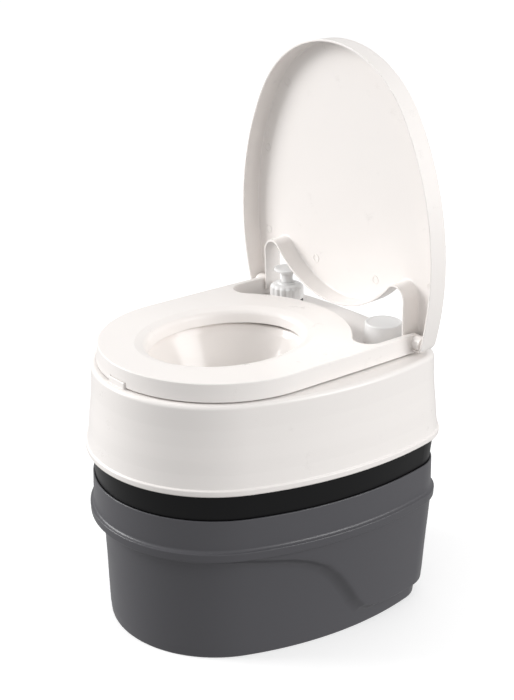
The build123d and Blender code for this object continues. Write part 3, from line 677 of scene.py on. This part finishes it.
ARM_END_KEEPS = 0.05        # least share, squared, of its height that an arm's end keeps
SEAT_ARM_ROUND, LID_ARM_ROUND = 8.6, 11.6
SEAT_SLOT_X, SEAT_SLOT_RISE = (135.9, 141.9), 7.4
LID_SLOT_X, LID_SLOT_RISE = (132.6, 145.6), 9.6
SLOT_AHEAD, SLOT_BEHIND, CUT_BELOW = 9, 20, 5
SEAT_SHELL, SEAT_SKIRT = 2.5, 2.4
CATCH_NOTCH_X, CATCH_NOTCH_Y, CATCH_NOTCH_TOP = 16.3, (-200, -182.0), 345.3


def arm_ends(reach):
    """Warp that rounds, seen from the side, what lies behind the hinge line."""
    def warp(points):
        past = np.clip(points[:, 1] - HINGE.y, 0, None)
        keep = np.sqrt(np.clip(1 - (past / reach)**2, ARM_END_KEEPS, 1))
        points[:, 2] = HINGE.z + (points[:, 2] - HINGE.z) * keep
        return points
    return warp


def hinge_slots(across, low, rise):
    """Boxes on both sides that make room for the hinge posts."""
    return [((min(x), HINGE.y - SLOT_AHEAD, low - CUT_BELOW), (max(x), HINGE.y + SLOT_BEHIND, HINGE.z + rise))
            for x in (across, [-x for x in across])]


def seat_mesh(sizes):
    """Seat: rounded outer edge, dished opening and a hollow underside."""
    outline = seat_outline(2.4)
    skin = Skin()
    low, top = SEAT_LOW_Z, SEAT_TOP_Z
    outer = skin.sweep(outline, rounded([(-SEAT_SKIRT, low, 0), (0.0, low, 0.7), (-1.6, top, 4.0),
                                         (-4.7, top, 0)], 6))
    opening = ellipse(220, sizes.opening_half_width, sizes.opening_half_length, sizes.opening_y)
    lip = SEAT_LIP_Z
    dish = skin.sweep(opening, rounded([(5.0, top, 0), (1.0, top, 5.0), (-12.0, 357.4, 8.0),
                                        (-14.8, lip, 0.8), (-10.0, lip, 0), (-6, lip, 0),
                                        (3.0, lip, 0), (3.0, top - SEAT_SHELL, 0)], 9))
    skin.bands(outer)
    skin.bands(dish)
    skin.fill(outer[-1], [dish[0]], 7)
    roof = skin.loop(outline[0] - outline[1] * SEAT_SHELL, top - SEAT_SHELL)
    skin.band(outer[0], roof)
    skin.fill(roof, [dish[-1]], 12)
    blank = skin.mesh("seat_blank", warp=arm_ends(SEAT_ARM_ROUND))
    notch = ((-CATCH_NOTCH_X, CATCH_NOTCH_Y[0], low - CUT_BELOW),
             (CATCH_NOTCH_X, CATCH_NOTCH_Y[1], CATCH_NOTCH_TOP))
    return cut(blank, [notch, *hinge_slots(SEAT_SLOT_X, low, SEAT_SLOT_RISE)], "seat_moulding")


EJECTOR_MARKS = [(110, -127), (151.5, -34), (152, 78), (56, 95)]
EJECTOR_MARK_R, EJECTOR_MARK_SINK = 5.0, 0.05
LID_EDGE, LID_CROWN_REACH = -9.4, 70


def add_ring_mark(skin, centre, radius, z):
    """Faint raised ring that a mould pin leaves."""
    rim = ellipse(28, radius, radius, centre[1], centre[0])
    loops = skin.sweep(rim, [(-0.8, z + 0.3), (-0.4, z - 0.45), (0.4, z - 0.45), (0.8, z + 0.3)])
    skin.bands(loops + [loops[0]])


def lid_mesh(sizes):
    """Lid, laid out as if closed and then turned up about the hinge line."""
    outline = lid_outline(2.6)
    skin = Skin()
    rim, top, wall = LID_RIM_Z, LID_TOP_Z, sizes.lid_wall
    outer = skin.sweep(outline, rounded([(-wall / 2, rim, 0), (0.0, rim, 0.9), (-0.9, top, 6.5),
                                         (LID_EDGE, top, 0)], 8))
    inner = skin.sweep(outline, rounded([(-wall / 2, rim, 0), (-wall, rim, 0.9),
                                         (-wall - 0.8, top - wall, 2.0),
                                         (LID_EDGE, top - wall, 0)], 8))
    skin.bands(outer)
    skin.bands(inner)

    def crown(gap):
        """Lift of a point that is so far from the lid's edge."""
        return sizes.lid_crown * (1 - np.exp(-(gap / LID_CROWN_REACH)**2))

    skin.fill(outer[-1], crown=crown)
    skin.fill(inner[-1], crown=crown)
    blank = skin.mesh("lid_blank", warp=arm_ends(LID_ARM_ROUND))
    made = cut(blank, hinge_slots(LID_SLOT_X, rim, LID_SLOT_RISE), "lid_moulding")
    marks = Skin()
    level = top - wall + EJECTOR_MARK_SINK
    for x, y in EJECTOR_MARKS:
        for side in (1, -1):
            add_ring_mark(marks, (side * x, y), EJECTOR_MARK_R, level)
    made_marks = marks.mesh("lid_marks")
    turn = Matrix.Translation(HINGE) @ Matrix.Rotation(-LID_OPEN, 4, "X") @ Matrix.Translation(-HINGE)
    scaled = Matrix.Diagonal((MM, MM, MM, 1)) @ turn @ Matrix.Diagonal((1 / MM, 1 / MM, 1 / MM, 1))
    for data in (made, made_marks):
        data.transform(scaled)
    return made, made_marks


def drum(name, centre, flutes, depth, outer, inner, top_z, sharpness=1.0, axis_turn=None, count=None):
    """Turned piece whose outer path can be fluted; the paths are (radius, height)."""
    count = count or max(72, flutes * 8)
    angles = np.arange(count) * 2 * pi / count
    ripple = (0.5 + 0.5 * np.cos(flutes * angles))**sharpness if flutes else np.zeros(count)
    ways = np.c_[np.cos(angles), np.sin(angles)]
    skin = Skin()
    loops = []
    for radius, z, fluted in outer:
        size = radius - depth * ripple * fluted
        loops.append(skin.loop(np.array(centre[:2]) + ways * size[:, None], z))
    skin.bands(loops)
    if inner:
        bore = [skin.loop(np.array(centre[:2]) + ways * radius, z) for radius, z in inner]
        skin.band(loops[0], bore[0])
        skin.bands(bore)
        skin.fan(bore[-1])
        skin.fan(loops[-1], top_z)
    else:
        skin.band(loops[-1], loops[0])
    return skin.mesh(name, turn=axis_turn, sharp=TURNED_SHARP_DEG)


def with_flutes(path, from_z, to_z):
    """Marks which points of a (radius, height) path carry the flutes."""
    return [(radius, z, 1.0 if from_z <= z <= to_z else 0.0) for radius, z in path]


def filler_cap_mesh():
    """Filler cap: fine flutes, a flat top with a sunk middle, and a bore for the neck."""
    low, high = (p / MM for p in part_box("filler_cap"))
    radius, bottom, top = (high.x - low.x) / 2, low.z, high.z
    path = rounded([(21.0, bottom, 0), (radius, bottom, 0.8), (radius - 0.4, top, 2.0),
                    (radius - 3.6, top, 0.6), (radius - 4.2, top - 0.5, 0.5), (6.0, top - 0.5, 0)], 5)
    return drum("filler_cap_body", FILLER, 36, 1.2, with_flutes(path, bottom + 1.2, top - 1.6),
                [(20.4, bottom), (20.4, top - 5.8)], top - 0.5, 2.5)


def spout_cap_mesh():
    """Cap of the pour spout, built upright and then turned to face the rear."""
    low, high = (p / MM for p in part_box("spout_cap"))
    radius, depth = (high.x - low.x) / 2, high.y - low.y
    path = rounded([(25.8, 0, 0), (radius, 0, 0.8), (radius - 0.5, depth, 2.6),
                    (radius - 6, depth, 0.6), (radius - 7, depth - 1.0, 0.6), (8, depth - 1.0, 0)], 5)
    turn = Matrix.Translation((SPOUT.x, low.y, SPOUT.z)) @ Matrix.Rotation(-pi / 2, 4, "X")
    return drum("spout_cap_body", (0, 0), 24, 1.5, with_flutes(path, 1.5, depth - 2.2),
                [(25.4, 0), (25.4, depth - 4)], depth - 1.0, 1.0, turn)


def pump_nut_mesh():
    """Pump nut: broad flutes, a shoulder and a collar round the knob's stem."""
    low, high = (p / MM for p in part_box("pump_nut"))
    radius = (high.x - low.x) / 2
    path = rounded([(19.2, 345.5, 0), (radius, 345.5, 0.9), (radius - 0.2, 360.6, 1.6),
                    (radius - 4.5, 363.8, 2.0), (12.2, 364.4, 0.8), (11.4, 366.4, 0.7),
                    (8.2, 366.4, 0.5), (8.1, 361, 0), (19.15, 360.5, 0)], 5)
    return drum("pump_nut_body", PUMP, 16, 1.7, with_flutes(path, 346.3, 361.5), None, None, 2.2)


def pump_knob_mesh():
    """Pump knob: a stem that flares into a dished button."""
    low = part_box("pump_knob")[0] / MM
    path = rounded([(6.6, low.z, 0), (7.5, low.z, 0.6), (7.5, 376.8, 5.0), (11.5, 380.6, 6.0),
                    (17.0, 382.4, 0.9), (16.8, 385.2, 1.0), (14.8, 385.9, 1.4), (9, 385.2, 6),
                    (3, 385.1, 0)], 6)
    skin = Skin()
    loops = [skin.loop(ellipse(72, radius, radius, PUMP.y, PUMP.x)[0], z) for radius, z in path]
    skin.bands(loops)
    skin.fan(loops[0])
    skin.fan(loops[-1])
    return skin.mesh("pump_knob_body", sharp=TURNED_SHARP_DEG)


BOSS_BORE_R, BOSS_R, BOSS_LENGTH, BOSS_NEAR_X, BOSS_FAR_X = 4.3, 9.4, 12.6, 143.4, 156.0


def seat_boss_mesh(side):
    """Round boss that fills the gap between the seat's arm and the lid's arm."""
    path = rounded([(BOSS_BORE_R, 0, 0), (BOSS_R, 0, 0.2), (BOSS_R, BOSS_LENGTH, 0.8),
                    (BOSS_BORE_R, BOSS_LENGTH, 0)], 4)
    near = BOSS_NEAR_X if side > 0 else -BOSS_FAR_X
    turn = Matrix.Translation((near, HINGE.y, HINGE.z)) @ Matrix.Rotation(pi / 2, 4, "Y")
    return drum("seat_boss", (0, 0), 0, 0, with_flutes(path, 1, 0), None, None, 1.0, turn, 48)


# --- Sizes and colours that a user would change ---------------------------------------------------

class ToiletSizes(bpy.types.PropertyGroup):
    """Sizes of the moulded shells, in millimetres."""
    step_width: FloatProperty(name="Step width", description="Width of the S-shaped step, mm", default=18.0)
    bowl_half_width: FloatProperty(name="Bowl half width", description="Half the bowl's width, mm",
                                   default=100.0)
    bowl_half_length: FloatProperty(name="Bowl half length", description="Half the bowl's length, mm",
                                    default=118.0)
    bowl_y: FloatProperty(name="Bowl centre", description="Bowl's centre along the depth, mm",
                          default=-44.0)
    opening_half_width: FloatProperty(name="Opening half width",
                                      description="Half the seat opening's width, mm", default=95.5)
    opening_half_length: FloatProperty(name="Opening half length",
                                       description="Half the seat opening's length, mm", default=115.0)
    opening_y: FloatProperty(name="Opening centre", description="Opening's centre along the depth, mm",
                             default=-32.0)
    lid_wall: FloatProperty(name="Lid wall", description="Thickness of the lid, mm", default=2.6)
    lid_crown: FloatProperty(name="Lid crown", description="Rise of the lid's middle, mm", default=2.0)


class ToiletColours(bpy.types.PropertyGroup):
    """Colours of the mouldings."""
    white: FloatVectorProperty(name="White", description="Upper tank, seat and lid", subtype="COLOR",
                               default=(0.85, 0.815, 0.79))
    # The bowl's colour is the white painted lighter, as painted light for the inside of the bowl; its gloss is
    # real.
    bowl: FloatVectorProperty(name="Bowl", description="Glossy inside of the bowl", subtype="COLOR",
                              default=(0.96, 0.92, 0.89))
    grey: FloatVectorProperty(name="Grey", description="Lower tank", subtype="COLOR",
                              default=(0.079, 0.078, 0.086))
    black: FloatVectorProperty(name="Black", description="Band between the tanks", subtype="COLOR",
                               default=(0.0035, 0.0035, 0.004))
    fitting: FloatVectorProperty(name="Fittings", description="Pump and filler cap", subtype="COLOR",
                                 default=(0.80, 0.795, 0.79))
    rubber: FloatVectorProperty(name="Rubber", description="Seals", subtype="COLOR",
                                default=(0.012, 0.012, 0.012))


FINISHES = {}


def finish_for(slot):
    """The finish of a slot, made with the scene's colours the first time that it's asked for."""
    if not FINISHES:
        FINISHES.update(finishes(bpy.context.scene.toilet_colours))
    return FINISHES[slot]


# --- Operators ------------------------------------------------------------------------------------

class TOILET_OT_tanks(bpy.types.Operator):
    """Build the shells of the waste tank and the water tank"""
    bl_idname = "toilet.tanks"
    bl_label = "Tanks"

    def execute(self, context):
        sizes = context.scene.toilet_sizes
        place(waste_tank_mesh(sizes), finish_for("grey_tank"), "holding_tank", "grey_tank",
              ["waste_tank"])
        place(water_tank_mesh(sizes), finish_for("white_shell"), "flush_tank", "white_shell",
              ["water_tank"])
        return {"FINISHED"}


class TOILET_OT_bowl(bpy.types.Operator):
    """Build the bowl"""
    bl_idname = "toilet.bowl"
    bl_label = "Bowl"

    def execute(self, context):
        place(bowl_mesh(context.scene.toilet_sizes), finish_for("bowl_gloss_painted_light"), "flush_tank",
              "white_shell", ["bowl"])
        return {"FINISHED"}


class TOILET_OT_seat_and_lid(bpy.types.Operator):
    """Build the seat and the lid"""
    bl_idname = "toilet.seat_and_lid"
    bl_label = "Seat and lid"

    def execute(self, context):
        sizes = context.scene.toilet_sizes
        place(seat_mesh(sizes), finish_for("white_shell"), "seat", "white_shell", ["seat"])
        for side in (1, -1):
            place(seat_boss_mesh(side), finish_for("white_shell"), "seat", "white_shell")
        lid, marks = lid_mesh(sizes)
        place(lid, finish_for("white_shell"), "lid", "white_shell", ["lid"])
        place(marks, finish_for("white_shell"), "lid", "white_shell")
        return {"FINISHED"}


class TOILET_OT_fittings(bpy.types.Operator):
    """Build the pump's knob and nut, the filler cap and the spout cap"""
    bl_idname = "toilet.fittings"
    bl_label = "Pump and caps"

    def execute(self, context):
        fitting = finish_for("cap_grey")
        place(pump_nut_mesh(), fitting, "flush_tank", "cap_grey", ["pump_nut"])
        place(pump_knob_mesh(), fitting, "pump_plunger", "cap_grey", ["pump_knob"])
        place(filler_cap_mesh(), fitting, "filler_cap", "cap_grey", ["filler_cap"])
        place(spout_cap_mesh(), finish_for("black_band"), "spout_cap", "black_band", ["spout_cap"])
        return {"FINISHED"}


class TOILET_OT_frame_parts(bpy.types.Operator):
    """Give every CAD part that stays in view its own finish"""
    bl_idname = "toilet.frame_parts"
    bl_label = "Frame parts"

    def execute(self, context):
        slots = {row["node"]: row["material_slot"] for row in frame["record"]["subparts"]}
        for name, node in frame["nodes"].items():
            node.data.materials.clear()
            node.data.materials.append(finish_for(slots[name]))
        return {"FINISHED"}


def softbox(name, location, target, size, watts):
    """Square area light that faces a point."""
    data = bpy.data.lights.new(name, "AREA")
    data.shape, data.size, data.energy = "SQUARE", size, watts
    lamp = bpy.data.objects.new(name, data)
    lamp.location = location
    lamp.rotation_euler = (Vector(target) - Vector(location)).to_track_quat("-Z", "Y").to_euler()
    bpy.context.scene.collection.objects.link(lamp)


class TOILET_OT_stage(bpy.types.Operator):
    """Lay the floor, hang the lights and set the camera"""
    bl_idname = "toilet.stage"
    bl_label = "Stage"

    CAMERA_AT = (1.3040, -1.0338, 0.9958)
    CAMERA_TARGET = (-0.02095, 0.03319, 0.31845)
    LENS = 75.19
    SENSOR = 36.0
    LAMPS = (("right_box", (2.35, 1.0, 1.35), 1.6, 44),     # name, place, size in metres, watts
             ("top_box", (-0.2, 0.1, 2.8), 2.2, 6),
             ("left_box", (-2.0, -1.8, 1.5), 1.6, 78))
    LAMP_TARGET = (0.0, 0.0, 0.35)
    FLOOR_REACH = 60.0
    FLOOR_DARK, FLOOR_LIGHT = 0.71, 0.73
    FLOOR_GLOW_NEAR, FLOOR_GLOW_FAR = 0.42, 0.60
    GLOW_FROM, GLOW_TO = 0.4, 3.5       # metres from the toilet over which the floor's glow changes
    HORIZON = 0.12
    SKY, GROUND = 0.58, 0.46

    def sky(self):
        """Even white light from above, and a dimmer one from below the horizon."""
        world = bpy.data.worlds.new("studio")
        world.use_nodes = True
        nodes, links = world.node_tree.nodes, world.node_tree.links
        place, split = nodes.new("ShaderNodeTexCoord"), nodes.new("ShaderNodeSeparateXYZ")
        strength = nodes.new("ShaderNodeMapRange")
        for socket, value in (("From Min", -self.HORIZON), ("From Max", self.HORIZON),
                              ("To Min", self.GROUND), ("To Max", self.SKY)):
            strength.inputs[socket].default_value = value
        links.new(place.outputs["Generated"], split.inputs[0])
        links.new(split.outputs["Z"], strength.inputs["Value"])
        nodes["Background"].inputs["Color"].default_value = (1.0, 1.0, 1.0, 1.0)
        links.new(strength.outputs[0], nodes["Background"].inputs["Strength"])
        return world

    def floor(self):
        """Pale floor with a soft glow that hides its far edge."""
        data = bpy.data.meshes.new("floor")
        reach = self.FLOOR_REACH
        data.from_pydata([(-reach, -reach, 0), (reach, -reach, 0), (reach, reach, 0),
                          (-reach, reach, 0)], [], [(0, 1, 2, 3)])
        floor = bpy.data.objects.new("floor", data)
        floor.visible_diffuse = floor.visible_glossy = False
        pale = Finish("pale_floor", Roughness=0.9, Emission_Strength=1.0)
        pale.feed("Base Color", pale.blend(pale.noise(3.0), (self.FLOOR_DARK,) * 3,
                                           (self.FLOOR_LIGHT,) * 3))
        away = pale.node("VectorMath", {"operation": "LENGTH"}, {0: pale.place}, "Value")
        share = pale.node("MapRange", {"interpolation_type": "SMOOTHSTEP"},
                          {"Value": away, "From Min": self.GLOW_FROM, "From Max": self.GLOW_TO})
        pale.feed("Emission Color", pale.blend(share, (self.FLOOR_GLOW_NEAR,) * 3,
                                               (self.FLOOR_GLOW_FAR,) * 3))
        data.materials.append(pale.material)
        return floor

    def camera(self):
        """Camera that looks down at the toilet's front and its left side as sat on."""
        camera = bpy.data.objects.new("camera", bpy.data.cameras.new("camera"))
        camera.data.lens, camera.data.sensor_width = self.LENS, self.SENSOR
        camera.location = self.CAMERA_AT
        away = Vector(self.CAMERA_TARGET) - Vector(self.CAMERA_AT)
        camera.rotation_euler = away.to_track_quat("-Z", "Y").to_euler()
        return camera

    def execute(self, context):
        scene = context.scene
        scene.view_settings.view_transform = "Standard"
        floor, camera = self.floor(), self.camera()
        scene.collection.objects.link(floor)
        scene.world = self.sky()
        for name, location, size, watts in self.LAMPS:
            softbox(name, location, self.LAMP_TARGET, size, watts)
        scene.collection.objects.link(camera)
        scene.camera = camera
        return {"FINISHED"}


class TOILET_PT_panel(bpy.types.Panel):
    """Lists the toilet's build steps"""
    bl_idname = "TOILET_PT_panel"
    bl_label = "Toilet"
    bl_space_type = "VIEW_3D"
    bl_region_type = "UI"
    bl_category = "Toilet"

    def draw(self, context):
        for operator in OPERATORS:
            self.layout.operator(operator.bl_idname)


OPERATORS = (TOILET_OT_stage, TOILET_OT_frame_parts, TOILET_OT_tanks, TOILET_OT_bowl,
             TOILET_OT_seat_and_lid, TOILET_OT_fittings)
CLASSES = (ToiletSizes, ToiletColours, *OPERATORS, TOILET_PT_panel)


def register():
    for cls in CLASSES:
        bpy.utils.register_class(cls)
    bpy.types.Scene.toilet_sizes = PointerProperty(type=ToiletSizes)
    bpy.types.Scene.toilet_colours = PointerProperty(type=ToiletColours)


def unregister():
    del bpy.types.Scene.toilet_colours
    del bpy.types.Scene.toilet_sizes
    for cls in reversed(CLASSES):
        bpy.utils.unregister_class(cls)


def main():
    register()
    bpy.ops.toilet.stage()
    bpy.ops.toilet.frame_parts()
    bpy.ops.toilet.tanks()
    bpy.ops.toilet.bowl()
    bpy.ops.toilet.seat_and_lid()
    bpy.ops.toilet.fittings()


if __name__ == "__main__":
    main()
